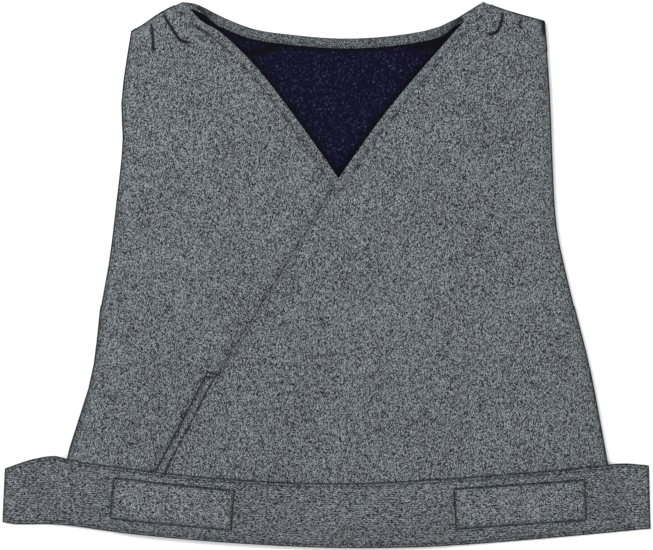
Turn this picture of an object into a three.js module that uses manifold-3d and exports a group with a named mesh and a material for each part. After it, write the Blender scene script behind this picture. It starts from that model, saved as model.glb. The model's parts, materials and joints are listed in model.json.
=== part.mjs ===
// Wrap-front protective apron vest, lying flat on its back, in millimetres.
// +X is the wearer's left, +Y is towards the neck, +Z is up from the surface it lies on.
// Left and right in the names are the wearer's.

import * as THREE from 'three';
import { mergeVertices } from 'three/addons/utils/BufferGeometryUtils.js';
import Module from 'manifold-3d';

// Thickness of each layer and the gap between two layers.
const FABRIC = 1.4;
const LEAD_PLY = 1.2;
const LINING = 1.0;
const WEBBING = 2.4;
const PILE_TAPE = 1.3;
const CLOSURE_TAPE = 1.0;
const GAP = 0.3;

// Widths seen from above.
const BINDING_WIDTH = 3;
const FACING_WIDTH = 12.3;
const SEAM_WIDTH = 5;
const FOLD_GAP = 1;

// Outline points nearer to each other than this are one point.
const MERGE = 1;

// Height of each panel's underside.
const RIGHT_FRONT_Z = 10.5;
const LOOP_STRIP_Z = 16.5;
const HOOK_STRIP_Z = LOOP_STRIP_Z + CLOSURE_TAPE + GAP;
const LEFT_FRONT_Z = HOOK_STRIP_Z + CLOSURE_TAPE + GAP;

// Outline of the garment, seen from above.
const LEFT_NECK_POINT = [180, 314.5];
const RIGHT_NECK_POINT = [-165, 314.5];
const WRAP_POINT = [14, 111];
const LEFT_SIDE = [[251, 292], [257, 215], [261, 115], [264, 66], [269.5, 30], [285, -36], [303.5, -110], [321, -203],
  [334, -276]];
const RIGHT_SIDE = [[-225, 281], [-236, 205], [-235, 150], [-242, 84], [-250, 18], [-260, -38], [-262, -56],
  [-271, -121], [-298, -209], [-310, -276]];
const LEFT_SHOULDER = [LEFT_NECK_POINT, [208, 304], LEFT_SIDE[0]];
const RIGHT_SHOULDER = [RIGHT_SIDE[0], [-213, 286.7], [-190, 302.5], RIGHT_NECK_POINT];
const BACK_NECK = [LEFT_NECK_POINT, [131, 286.5], [75, 275.5], [14, 272.5], [-46, 277.5], [-84, 283.5], [-118, 296.5],
  [-148, 311.5], RIGHT_NECK_POINT];
const LEFT_NECK_EDGE = [LEFT_NECK_POINT, [131, 261], [67.5, 186], WRAP_POINT];
const RIGHT_NECK_EDGE = [WRAP_POINT, [-24, 165], [-76.5, 234], [-119, 276.5], [-144, 292], RIGHT_NECK_POINT];
const WRAP_EDGE = [[-125, -114], [-136, -110], [-165, -165], [-196, -224]];
const WRAP_HEM_X = -232;
const UNDER_HEM_X = 124;

// The hem is a shallow arc.
const HEM_LOW = -300;
const HEM_RISE = 24;
const HEM_CENTRE = 13;
const HEM_HALF = 323;

// Each front folds open about a straight line from its shoulder to its hem.
const LEFT_FOLD = { top: [189, 311], bottom: [322, -276] };
const RIGHT_FOLD = { top: [-174, 310], bottom: [-296, -273] };

// Where the tape round the neck, the trim inside it and the joining seams begin and end.
const NECK_TAPE = { from: -160.5, to: 175.5, low: 200 };
const NECK_TRIM = { from: -150, to: 157 };
const SIDE_SEAM = { top: -45, bottom: -266 };
const SHOULDER_SEAM = { left: [195, 246], right: [-180, -213], low: 262 };

// Outline of the waist belt and the places where it bends.
const BELT_TOP = [[-371, -223.5], [-340, -213], [-312, -209], [-285, -214], [-204, -224], [-108, -233], [0, -238],
  [100, -235], [210, -228], [330, -218], [372, -220]];
const BELT_BOTTOM = [[-374, -285.5], [-356, -288], [-304, -288.5], [-240, -297], [-150, -305.8], [-60, -312],
  [20, -315], [90, -314.5], [150, -312], [220, -307], [300, -300], [374, -293]];
const BELT_HALF = 374;
const BELT_HINGE = -304;
const BELT_ROOT = 280;
const BELT_BEND = { length: 4, rise: 2 };
const RIGHT_DROP = [-308, -332];
const LEFT_DROP = [337, 350];
const HOOK_PAD = { length: 32, height: 44, inset: 5 };

// Loop patches on the belt: centre, length, height and tilt in degrees.
const PATCHES = {
  right_loop_patch: { x: -176.5, y: -262.8, length: 141, height: 49, tilt: -5.5 },
  left_loop_patch: { x: 222, y: -263.5, length: 152, height: 49, tilt: 3.8 },
};

// Closure tape under the lower part of the wrap edge, where the front is a little wider.
const CLOSURE_TAPE_OUTLINE = [[-127, -118], [-136, -114], [-165, -168], [-196, -226], [-208, -248], [-194, -250],
  [-175, -209], [-150, -162]];

// Sizes of the blocks that pieces are cut with: farther and taller than the garment.
const FAR = 1000;
const BELOW = -50;
const ABOVE = 100;

const GREY = { color: 0x69706f, roughness: 0.95, metalness: 0 };
const TRIM = { color: 0x50565a, roughness: 0.9, metalness: 0 };
const NAVY = { color: 0x18162c, roughness: 0.9, metalness: 0 };
const LEAD = { color: 0x35383a, roughness: 0.6, metalness: 0.1 };
const ELASTIC = { color: 0x5e6469, roughness: 0.92, metalness: 0 };
const PILE = { color: 0x666c70, roughness: 1, metalness: 0 };
const HOOK = { color: 0x26282b, roughness: 0.7, metalness: 0 };

const wasm = await Module();
wasm.setup();

const curve = (points, steps) =>
  new THREE.SplineCurve(points.map(([x, y]) => new THREE.Vector2(x, y))).getPoints(steps);
const corners = (points) => points.map(([x, y]) => new THREE.Vector2(x, y));
const hemHeight = (x) => HEM_LOW + HEM_RISE * ((x - HEM_CENTRE) / HEM_HALF) ** 2;

function hem(fromX, toX, steps = 12) {
  const points = [];
  for (let i = 0; i <= steps; i += 1) {
    const x = THREE.MathUtils.lerp(fromX, toX, i / steps);
    points.push(new THREE.Vector2(x, hemHeight(x)));
  }
  return points;
}

// One loop of points, without neighbours that nearly coincide, counter-clockwise.
function loop(...stretches) {
  const points = stretches.flat().filter((p, i, all) => p.distanceTo(all[(i + 1) % all.length]) > MERGE);
  return THREE.ShapeUtils.isClockWise(points) ? points.reverse() : points;
}

// The same loop drawn in by a distance, with mitred corners.
function inset(points, distance) {
  return points.map((p, i) => {
    const before = points[(i + points.length - 1) % points.length];
    const after = points[(i + 1) % points.length];
    const a = p.clone().sub(before).normalize();
    const b = after.clone().sub(p).normalize();
    const normal = new THREE.Vector2(-a.y - b.y, a.x + b.x).normalize();
    const mitre = Math.min(3, 1 / Math.max(0.2, normal.dot(new THREE.Vector2(-a.y, a.x))));
    return p.clone().addScaledVector(normal, distance * mitre);
  });
}

function solid(geometry) {
  geometry.deleteAttribute('normal');
  geometry.deleteAttribute('uv');
  const merged = mergeVertices(geometry, 1e-4);
  return new wasm.Manifold(new wasm.Mesh({
    numProp: 3,
    vertProperties: new Float32Array(merged.attributes.position.array),
    triVerts: new Uint32Array(merged.index.array),
  }));
}

// An upright prism over an outline, from one height to another.
function slab(points, low, high) {
  const geometry = new THREE.ExtrudeGeometry(new THREE.Shape(points), { depth: high - low, bevelEnabled: false });
  geometry.translate(0, 0, low);
  return solid(geometry);
}

// The half of the plane on one side of a fold line, as a tall prism.
function sideOf(fold, side) {
  const top = new THREE.Vector2(...fold.top);
  const along = new THREE.Vector2(...fold.bottom).sub(top).normalize();
  const across = new THREE.Vector2(-along.y, along.x).multiplyScalar(side);
  const at = (distance, offset) => top.clone().addScaledVector(along, distance).addScaledVector(across, offset);
  return slab(loop([at(-FAR, FOLD_GAP), at(FAR, FOLD_GAP), at(FAR, FAR), at(-FAR, FAR)]), BELOW, ABOVE);
}

// A tall prism over a rectangle.
function between(fromX, toX, lowY = -FAR, highY = FAR) {
  return slab(loop(corners([[fromX, lowY], [toX, lowY], [toX, highY], [fromX, highY]])), BELOW, ABOVE);
}

// A sheet bent along X: its underside follows the profile, and it runs the whole way along Y.
function bentSheet(profile, thickness) {
  const top = profile.map(([x, z]) => [x, z + thickness]).reverse();
  const geometry = new THREE.ExtrudeGeometry(new THREE.Shape(loop(corners([...profile, ...top]))), {
    depth: 2 * FAR, bevelEnabled: false,
  });
  geometry.rotateX(Math.PI / 2);
  geometry.translate(0, FAR, 0);
  return solid(geometry);
}

const apron = new THREE.Group();

function addPiece(name, body, finish) {
  const { vertProperties, triVerts } = body.getMesh();
  const geometry = new THREE.BufferGeometry();
  geometry.setAttribute('position', new THREE.BufferAttribute(new Float32Array(vertProperties), 3));
  geometry.setIndex(new THREE.BufferAttribute(new Uint32Array(triVerts), 1));
  geometry.computeVertexNormals();
  const mesh = new THREE.Mesh(geometry, new THREE.MeshStandardMaterial(finish));
  mesh.name = name;
  apron.add(mesh);
}

// Heights of the layers of a panel, from its underside up.
function frontLayers(base) {
  const lining = base + LINING;
  const inner = lining + GAP + LEAD_PLY;
  const outer = inner + GAP + LEAD_PLY;
  return {
    lining: [base, lining],
    lead_inner: [lining + GAP, inner],
    lead_outer: [inner + GAP, outer],
    shell: [outer + GAP, outer + GAP + FABRIC],
  };
}

const FINISHES = { lining: NAVY, lead_inner: LEAD, lead_outer: LEAD, shell: GREY };

// A front is cut by its fold line into the panel that opens and the strip that stays on the back.
function addFront(side, outline, base, fold, openSide) {
  const inner = inset(outline, BINDING_WIDTH + GAP);
  const openHalf = sideOf(fold, openSide);
  const fixedHalf = sideOf(fold, -openSide);
  const layers = frontLayers(base);
  for (const [layer, [low, high]] of Object.entries(layers)) {
    const sheet = slab(inner, low, high);
    addPiece(`${side}_front_${layer}`, sheet.intersect(openHalf), FINISHES[layer]);
    addPiece(`${side}_side_${layer}`, sheet.intersect(fixedHalf), FINISHES[layer]);
  }
  const rim = slab(outline, base, layers.shell[1]).subtract(
    slab(inset(outline, BINDING_WIDTH), base - 1, layers.shell[1] + 1));
  addPiece(`${side}_front_binding`, rim.intersect(openHalf), TRIM);
  addPiece(`${side}_armhole_binding`, rim.intersect(fixedHalf), TRIM);
  return layers.shell[1];
}

function addBack(outline) {
  const inner = inset(outline, BINDING_WIDTH + GAP);
  const shell = FABRIC;
  const outer = shell + GAP + LEAD_PLY;
  const plies = outer + GAP + LEAD_PLY;
  const lining = plies + GAP + LINING;
  addPiece('back_shell', slab(inner, 0, shell), GREY);
  addPiece('back_lead_outer', slab(inner, shell + GAP, outer), LEAD);
  addPiece('back_lead_inner', slab(inner, outer + GAP, plies), LEAD);
  addPiece('back_lining', slab(inner, plies + GAP, lining), NAVY);
  const rim = slab(outline, 0, lining).subtract(slab(inset(outline, BINDING_WIDTH), -1, lining + 1));
  const { from, to, low } = NECK_TAPE;
  addPiece('back_neck_binding', rim.intersect(between(from, to, low)), TRIM);
  addPiece('back_edge_binding', rim.subtract(between(from - GAP, to + GAP, low)), TRIM);
  const facing = loop(backNeck, backNeck.map((p) => new THREE.Vector2(p.x, p.y - FACING_WIDTH)).reverse());
  addPiece('back_neck_facing', slab(facing, lining + GAP, lining + GAP + PILE_TAPE)
    .intersect(between(NECK_TRIM.from, NECK_TRIM.to)), GREY);
  return lining;
}

// Seam tapes run inside the edge and join the front strips to the back.
function addSeams(side, outline, low, high) {
  const outer = slab(inset(outline, BINDING_WIDTH + GAP), low, high);
  const ring = outer.subtract(slab(inset(outline, BINDING_WIDTH + GAP + SEAM_WIDTH), low - 1, high + 1));
  const [shoulderFrom, shoulderTo] = SHOULDER_SEAM[side];
  const sideZone = between(0, Math.sign(shoulderFrom) * FAR, SIDE_SEAM.bottom, SIDE_SEAM.top);
  addPiece(`${side}_side_seam`, ring.intersect(sideZone), TRIM);
  addPiece(`${side}_shoulder_seam`, ring.intersect(between(shoulderFrom, shoulderTo, SHOULDER_SEAM.low)), TRIM);
}

// Height on the belt's middle line at a place near one of its ends.
function beltMiddle(outline, x) {
  const heights = outline.filter((p) => Math.abs(p.x - x) < HOOK_PAD.length / 2).map((p) => p.y);
  return (Math.max(...heights) + Math.min(...heights)) / 2;
}

// An end of the belt: flat from its root, down beside the body, and flat on the surface.
function beltEnd(outline, root, [dropFrom, dropTo], tip, base, foot) {
  const bend = Math.sign(tip) * BELT_BEND.length;
  const drop = [[dropFrom, base], [dropTo, foot + BELT_BEND.rise], [dropTo + bend, foot]];
  const profile = [[root, base], ...drop, [tip, foot]];
  return bentSheet(profile, WEBBING).intersect(slab(outline, BELOW, ABOVE));
}

// The belt is sewn to the left front, its left end stays at the side seam, and its right end is free.
function addBelt(base) {
  const outline = loop(curve(BELT_TOP, 40), curve(BELT_BOTTOM, 40).reverse());
  const front = slab(outline, base, base + WEBBING).intersect(sideOf(LEFT_FOLD, -1));
  addPiece('belt_front', front.intersect(between(BELT_HINGE + FOLD_GAP, FAR)), ELASTIC);

  const leftEnd = beltEnd(outline, BELT_ROOT, LEFT_DROP, BELT_HALF, base, 0);
  addPiece('belt_left_end', leftEnd.intersect(sideOf(LEFT_FOLD, 1)), ELASTIC);

  const rightEnd = beltEnd(outline, BELT_HINGE - FOLD_GAP, RIGHT_DROP, -BELT_HALF, base, PILE_TAPE + GAP);
  addPiece('belt_right_end', rightEnd, ELASTIC);
  const padX = -BELT_HALF + HOOK_PAD.inset + HOOK_PAD.length / 2;
  const pad = new THREE.BoxGeometry(HOOK_PAD.length, HOOK_PAD.height, PILE_TAPE);
  pad.translate(padX, beltMiddle(outline, padX), PILE_TAPE / 2);
  addPiece('belt_hook_pad', solid(pad), HOOK);
  return base + WEBBING;
}

function addPatches(base) {
  for (const [name, patch] of Object.entries(PATCHES)) {
    const geometry = new THREE.BoxGeometry(patch.length, patch.height, PILE_TAPE);
    geometry.rotateZ(THREE.MathUtils.degToRad(patch.tilt));
    geometry.translate(patch.x, patch.y, base + PILE_TAPE / 2);
    addPiece(name, solid(geometry), PILE);
  }
}

const leftSide = curve(LEFT_SIDE, 24);
const rightSide = curve(RIGHT_SIDE, 24);
const leftShoulder = curve(LEFT_SHOULDER, 6);
const rightShoulder = curve(RIGHT_SHOULDER, 9);
const backNeck = curve(BACK_NECK, 24);
const leftNeck = curve(LEFT_NECK_EDGE, 12);
const rightNeck = curve(RIGHT_NECK_EDGE, 20);
const leftHemX = LEFT_SIDE.at(-1)[0];
const rightHemX = RIGHT_SIDE.at(-1)[0];

const backOutline = loop(leftShoulder, leftSide, hem(leftHemX, rightHemX, 16), [...rightSide].reverse(),
  rightShoulder, [...backNeck].reverse());
const leftOutline = loop(leftShoulder, leftSide, hem(leftHemX, WRAP_HEM_X), corners(WRAP_EDGE).reverse(),
  [...leftNeck].reverse());
const rightOutline = loop(rightShoulder, [...rightNeck].reverse(), hem(UNDER_HEM_X, rightHemX),
  [...rightSide].reverse());

const liningTop = addBack(backOutline);
addFront('right', rightOutline, RIGHT_FRONT_Z, RIGHT_FOLD, 1);
const leftShellTop = addFront('left', leftOutline, LEFT_FRONT_Z, LEFT_FOLD, -1);
addSeams('right', backOutline, liningTop + GAP, RIGHT_FRONT_Z - GAP);
addSeams('left', backOutline, liningTop + GAP, LEFT_FRONT_Z - GAP);

const tape = loop(corners(CLOSURE_TAPE_OUTLINE));
addPiece('closure_loop_strip', slab(tape, LOOP_STRIP_Z, LOOP_STRIP_Z + CLOSURE_TAPE), PILE);
addPiece('closure_hook_strip', slab(tape, HOOK_STRIP_Z, HOOK_STRIP_Z + CLOSURE_TAPE), HOOK);

const beltTop = addBelt(leftShellTop + GAP);
addPatches(beltTop + GAP);

// The origin is the middle of the footprint, on the surface that the apron lies on.
const box = new THREE.Box3().setFromObject(apron);
const centre = box.getCenter(new THREE.Vector3());
apron.position.set(-centre.x, -centre.y, -box.min.z);
apron.updateMatrixWorld(true);

export default apron;
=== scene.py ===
"""A protective wrap-front vest lying flat on its back, seen from straight above.

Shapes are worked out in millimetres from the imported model's outlines, and meshes are made in metres.
Left and right are the wearer's: left is +X. Every height is above the floor that the vest lies on.
"""

import json
import math

import bmesh
import bpy
import numpy as np
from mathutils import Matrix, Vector
from mathutils.geometry import delaunay_2d_cdt

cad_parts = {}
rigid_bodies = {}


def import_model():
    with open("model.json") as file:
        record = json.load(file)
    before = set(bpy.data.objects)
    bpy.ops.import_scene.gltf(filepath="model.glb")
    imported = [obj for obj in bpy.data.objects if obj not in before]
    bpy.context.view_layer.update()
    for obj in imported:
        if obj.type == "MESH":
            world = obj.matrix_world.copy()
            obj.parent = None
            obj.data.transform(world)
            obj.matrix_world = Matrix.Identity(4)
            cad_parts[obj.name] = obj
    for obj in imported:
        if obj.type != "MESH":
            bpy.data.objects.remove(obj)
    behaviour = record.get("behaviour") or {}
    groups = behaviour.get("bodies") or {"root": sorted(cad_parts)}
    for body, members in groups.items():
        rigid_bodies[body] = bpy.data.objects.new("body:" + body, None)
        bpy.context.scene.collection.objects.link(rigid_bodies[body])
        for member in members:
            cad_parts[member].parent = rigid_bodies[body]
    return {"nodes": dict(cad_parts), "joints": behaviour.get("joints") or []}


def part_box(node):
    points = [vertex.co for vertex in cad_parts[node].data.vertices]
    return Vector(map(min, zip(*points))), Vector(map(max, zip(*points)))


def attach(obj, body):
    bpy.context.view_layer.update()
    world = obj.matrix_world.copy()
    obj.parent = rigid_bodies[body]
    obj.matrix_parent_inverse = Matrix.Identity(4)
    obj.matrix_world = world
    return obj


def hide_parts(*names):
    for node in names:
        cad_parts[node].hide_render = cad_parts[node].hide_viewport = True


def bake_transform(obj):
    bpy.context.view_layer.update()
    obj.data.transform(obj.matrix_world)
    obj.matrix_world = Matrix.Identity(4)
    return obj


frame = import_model()
bpy.context.view_layer.update()

MM = 1000.0

# Heights of the layers where the vest is thin, and how they grow inwards.
REST_GAP = 0.5
EDGE_THICKNESS = 3.4
FULL_THICKNESS = 5.7
PLUMP_OVER = 14.0
FRONT_LIFT = 4.3
LIFT_OVER = 60.0
OVERLAP_GAP = 0.6
OVERLAP_LIFT = 2.3
SIDE_LIFT = 5.0
BRIDGE = 75.0
RIPPLE = 0.6

# Rows of points along a fold: how far apart its points and its rows are, and how far it reaches.
ROW_STEP = 5.0
PANEL_ROWS = 2.6
BELT_ROWS = 1.8
FOLD_REACH = 700.0

# The tape that wraps every edge: its thickness, and its width on a plain and on a neck edge.
TUCK = 0.7
EDGE_BAND = 4.5
NECK_BAND = 7.5
PLY_INSET = 16.0
CLOTH_INSET = 1.3
NODE_INSET = 3.3

TAPE = 0.9
TAPE_LIFT = 2.0
TRIM_LIFT = 1.6
WEBBING = 2.4
WEBBING_REST = 0.35
BELT_SPLICE = -292.0


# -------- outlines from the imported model

def top_loop(name):
    """The outline of a flat CAD node seen from above, anticlockwise."""
    mesh = frame["nodes"][name].data
    place = [tuple(round(c * MM, 2) for c in v.co.xy) for v in mesh.vertices]
    directed = set()
    for face in mesh.polygons:
        if face.normal.z > 0.2:
            ring = [place[i] for i in face.vertices]
            directed.update(edge for edge in zip(ring, ring[1:] + ring[:1]) if edge[0] != edge[1])
    after = {a: b for a, b in directed if (b, a) not in directed}
    loop = [min(after)]
    while after[loop[-1]] != loop[0]:
        loop.append(after[loop[-1]])
    return np.array(loop)


def grown(loop, distance):
    """The loop moved outwards by a distance, with mitred corners."""
    along = np.roll(loop, -1, 0) - loop
    along /= np.linalg.norm(along, axis=1)[:, None]
    before = np.roll(along, 1, 0)
    normal = np.stack([before[:, 1] + along[:, 1], -before[:, 0] - along[:, 0]], 1)
    normal /= np.linalg.norm(normal, axis=1)[:, None]
    cosine = np.sum(normal * np.stack([along[:, 1], -along[:, 0]], 1), 1)
    return loop + normal * (distance * np.minimum(3, 1 / np.maximum(0.2, cosine)))[:, None]


class Fold:
    """A hinge line seen from above: where it is, which way it runs, and which way is off the panel."""

    def __init__(self, joint, outward, start, end):
        self.start, self.end = start, end
        found = next(j for j in frame["joints"] if j["name"] == joint)
        self.bodies = found["parent"], found["child"]
        self.at = np.array(found["pos_m"][:2]) * MM
        along = np.array(found["axis"][:2])
        self.along = along / np.linalg.norm(along)
        across = np.array([-self.along[1], self.along[0]])
        self.across = across * np.sign(across @ np.array(outward))

    def offset(self, xy):
        """How far outward of the hinge line each point is."""
        return (xy - self.at) @ self.across

    def blend(self, obj):
        """Bakes the piece's transform into its mesh; it is not tied to either body and does not bend."""
        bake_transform(obj)

    def rows(self, apart):
        """Points in rows along the hinge line, the same rows in every layer."""
        count = int((self.start - self.end + 4) / apart)
        offsets = self.start + 2 - apart * np.arange(count + 1)
        places = np.arange(-FOLD_REACH, FOLD_REACH, ROW_STEP)
        rows = self.at + offsets[:, None, None] * self.across + places[None, :, None] * self.along
        return rows.reshape(-1, 2)


LEFT_FOLD = Fold("left_front_open", (1, 0), 5.0, -24.0)
RIGHT_FOLD = Fold("right_front_open", (-1, 0), 5.0, -24.0)
BELT_FOLD = Fold("belt_end_fold", (1, 0), 4.0, -14.0)


def joined(front, side, fold):
    """The outline of two flat nodes that a fold parts, without the cut between them."""
    chains = []
    for name in (front, side):
        loop = top_loop(name)
        kept = np.abs(fold.offset(loop)) > 1.7
        first = np.flatnonzero(kept & ~np.roll(kept, 1))[0]
        chains.append(np.roll(loop, -first, 0)[np.roll(kept, -first)])
    return np.concatenate(chains)


BACK = grown(top_loop("back_shell"), NODE_INSET)
RIGHT = grown(joined("right_front_shell", "right_side_shell", RIGHT_FOLD), NODE_INSET)
LEFT = grown(joined("left_front_shell", "left_side_shell", LEFT_FOLD), NODE_INSET)
CLOSURE = top_loop("closure_loop_strip")
CLOSURE_SEAM = grown(CLOSURE, -1.2)
NECK_TRIM = top_loop("back_neck_facing")


# -------- measuring

def smooth(t):
    t = np.clip(t, 0.0, 1.0)
    return t * t * (3 - 2 * t)


def run(line):
    """How far along an open line each of its points is."""
    return np.concatenate([[0], np.cumsum(np.linalg.norm(np.diff(line, axis=0), axis=1))])


def leftward(line):
    """The unit direction to the left of a line's way, at each of its points."""
    ahead = np.gradient(line, axis=0)
    ahead /= np.linalg.norm(ahead, axis=1)[:, None]
    return np.stack([-ahead[:, 1], ahead[:, 0]], 1)


def nearest(xy, line, closed=False):
    """Each point's distance to a line of points, and how far along the line its nearest place is."""
    a = line if closed else line[:-1]
    b = np.roll(line, -1, 0) if closed else line[1:]
    step = b - a
    length = np.linalg.norm(step, axis=1)
    t = np.einsum("nmk,mk->nm", xy[:, None] - a[None], step) / length ** 2
    t = np.clip(t, 0, 1)
    gap = np.linalg.norm(xy[:, None] - a[None] - t[:, :, None] * step[None], axis=2)
    best = gap.argmin(1)
    rows = np.arange(len(xy))
    travelled = np.concatenate([[0], np.cumsum(length)])
    return gap[rows, best], travelled[best] + t[rows, best] * length[best]


def inside(xy, loop):
    a, b = loop, np.roll(loop, -1, 0)
    x, y = xy[:, 0:1], xy[:, 1:2]
    spans = (a[:, 1] > y) != (b[:, 1] > y)
    rise = np.where(b[:, 1] == a[:, 1], 1.0, b[:, 1] - a[:, 1])
    crossing = a[:, 0] + (y - a[:, 1]) * (b[:, 0] - a[:, 0]) / rise
    return (spans & (x < crossing)).sum(1) % 2 == 1


def depth(xy, loop):
    """How far in from the loop each point is, negative outside it."""
    out = np.empty(len(xy))
    for start in range(0, len(xy), 4000):
        part = xy[start:start + 4000]
        out[start:start + 4000] = nearest(part, loop, True)[0] * np.where(inside(part, loop), 1, -1)
    return out


def resampled(line, step, closed=False):
    """Points about a step apart along a line, its own corners among them."""
    ends = np.concatenate([line, line[:1]]) if closed else line
    out = []
    for a, b in zip(ends[:-1], ends[1:]):
        count = max(1, int(round(np.linalg.norm(b - a) / step)))
        out.extend(a + (b - a) * i / count for i in range(count))
    if not closed:
        out.append(ends[-1])
    return np.array(out)


def even(line, step, closed=False):
    """Points exactly as far apart along a line, for stitches and swept tapes."""
    ends = np.concatenate([line, line[:1]]) if closed else line
    travelled = run(ends)
    count = max(2, int(round(travelled[-1] / step)))
    at = np.linspace(0, travelled[-1], count + 1)
    if closed:
        at = at[:-1]
    return np.stack([np.interp(at, travelled, ends[:, k]) for k in (0, 1)], 1)


def stretch(loop, first, last):
    """The part of a loop from the corner nearest one point to the corner nearest another."""
    i, j = (int(np.linalg.norm(loop - np.array(p), axis=1).argmin()) for p in (first, last))
    return np.roll(loop, -i, 0)[:(j - i) % len(loop) + 1]


# -------- how the vest lies

# Pleats and small folds at the shoulders, the back's in its lining: the line of each, its height, and how
# much painted shade its crease gets.
PLEATS = {
    "right": [
        ([(-189, 303), (-182, 290), (-175, 279), (-167, 268), (-154, 266)], 2.8, 1.0),
        ([(-203, 293), (-200, 282), (-199, 268), (-198, 252)], 1.4, 0.95),
        ([(-152, 289), (-141, 281), (-130, 273)], 0.8, 0.8),
        ([(-148, 276), (-139, 266)], 0.8, 0.6),
    ],
    "left": [
        ([(203, 306), (202, 297), (199.5, 286), (195, 278), (188, 275.5), (181, 277)], 2.4, 1.0),
        ([(225, 294), (221, 288), (223, 283), (229, 284)], 1.4, 0.9),
        ([(231, 296), (247, 292)], 0.5, 0.8),
        ([(176, 289), (170, 276)], 1.0, 0.5),
    ],
    "back": [
        ([(-112, 262), (-93, 254), (-75, 257), (-55, 264), (-36, 267)], 1.2, 1.0),
        ([(98, 261), (118, 264), (136, 268), (152, 273)], 1.0, 1.0),
    ],
}
PLEAT_REACH = 4.2
PLEAT_ROWS = (-9, -6.5, -4.3, -2.6, -1.2, 0, 1.2, 2.6, 4.3, 6.5, 9)
PLEAT_WIDTH = {"right": 1.8, "left": 1.8, "back": 5.0}

# The line of a crease's painted shade in the tapes at the left shoulder's outer corner.
CORNER_CREASE = np.array([(249.3, 292.0), (250.1, 278.0)])


def ripple(xy):
    """The slow unevenness of cloth that lies over stiff plies, from -1 to 1."""
    x, y = xy[:, 0], xy[:, 1]
    return (np.sin(x / 41 + y / 67 + 0.6) + np.sin(x / 29 - y / 83 + 2.1) * 0.6
            + np.sin(y / 24 + x / 140 + 1.2) * 0.4) / 2


def pleat_shape(xy, side):
    """Height that a shoulder's pleats add, and the painted shade of their creases."""
    height, shade = np.zeros(len(xy)), np.zeros(len(xy))
    for points, rise, dark in PLEATS[side]:
        line = even(np.array(points, float), 2.0)
        gap, along = nearest(xy, line)
        length = np.linalg.norm(np.diff(line, axis=0), axis=1).sum()
        fade = smooth(along / 3) * smooth((length - along) / 6)
        t = gap / PLEAT_REACH
        height = np.maximum(height, rise * fade * t * np.exp(1 - t) * (gap < 40))
        shade = np.maximum(shade, dark * fade * np.exp(-(gap / PLEAT_WIDTH[side]) ** 4))
    return height, shade


class Place:
    """What the height functions need to know about a set of points."""

    def __init__(self, xy):
        self.xy = np.asarray(xy, float)
        self.right = depth(self.xy, RIGHT)
        self.left = depth(self.xy, LEFT)
        self.back = depth(self.xy, BACK)
        self.ripple = ripple(self.xy)
        self.over_trim = smooth(1 + depth(self.xy, NECK_TRIM) / 14)
        self.over_closure = smooth(1 + depth(self.xy, CLOSURE) / 9)


def thickness(inward):
    return EDGE_THICKNESS + (FULL_THICKNESS - EDGE_THICKNESS) * smooth(inward / PLUMP_OVER)


def back_low(at):
    return 0.05 + 0.25 * (1 + at.ripple) * smooth(at.back / 30)


def back_high(at):
    return thickness(np.maximum(at.back, 0))


def on_back(at, inward, lift):
    """Underside of a front where it lies on the back panel."""
    return (back_high(at) + REST_GAP + lift * smooth(inward / LIFT_OVER) + TRIM_LIFT * at.over_trim
            + RIPPLE * at.ripple * smooth(inward / 40))


def right_low(at):
    return on_back(at, np.maximum(at.right, 0), FRONT_LIFT)


def right_high(at):
    return right_low(at) + thickness(np.maximum(at.right, 0))


def left_low(at):
    inward = np.maximum(at.left, 0)
    free = on_back(at, inward, SIDE_LIFT)
    stacked = (right_high(at) + OVERLAP_GAP + OVERLAP_LIFT * smooth(inward / LIFT_OVER)
               + TAPE_LIFT * at.over_closure)
    share = smooth(1 + at.right / BRIDGE)
    return free + (stacked - free) * share


def left_high(at):
    return left_low(at) + thickness(np.maximum(at.left, 0))


class Panel:
    """One panel of the vest: its outline, its underside and top, and the neck part of its edge."""

    def __init__(self, side, loop, low, high, neck):
        self.side, self.loop, self.low, self.high = side, loop, low, high
        self.neck = neck

    def inward(self, at):
        return np.maximum(getattr(at, self.side), 0)

    def band(self, xy):
        """Width of the edge tape for points near the edge."""
        past = nearest(xy, self.neck)[0] - depth(xy, self.loop)
        return NECK_BAND + (EDGE_BAND - NECK_BAND) * smooth(past / 20)


LEFT_UPPER = LEFT[LEFT[:, 1] > 0]
V_TIP = LEFT_UPPER[np.abs(depth(LEFT_UPPER, RIGHT)).argmin()]
LEFT_NECK_TOP, RIGHT_NECK_TOP = (loop[loop[:, 1].argmax()] for loop in (LEFT, RIGHT))
PANELS = {
    "back": Panel("back", BACK, back_low, back_high, stretch(BACK, LEFT_NECK_TOP, RIGHT_NECK_TOP)),
    "right": Panel("right", RIGHT, right_low, right_high, stretch(RIGHT, V_TIP, RIGHT_NECK_TOP)),
    "left": Panel("left", LEFT, left_low, left_high, stretch(LEFT, LEFT_NECK_TOP, V_TIP)),
}


# -------- materials

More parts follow.
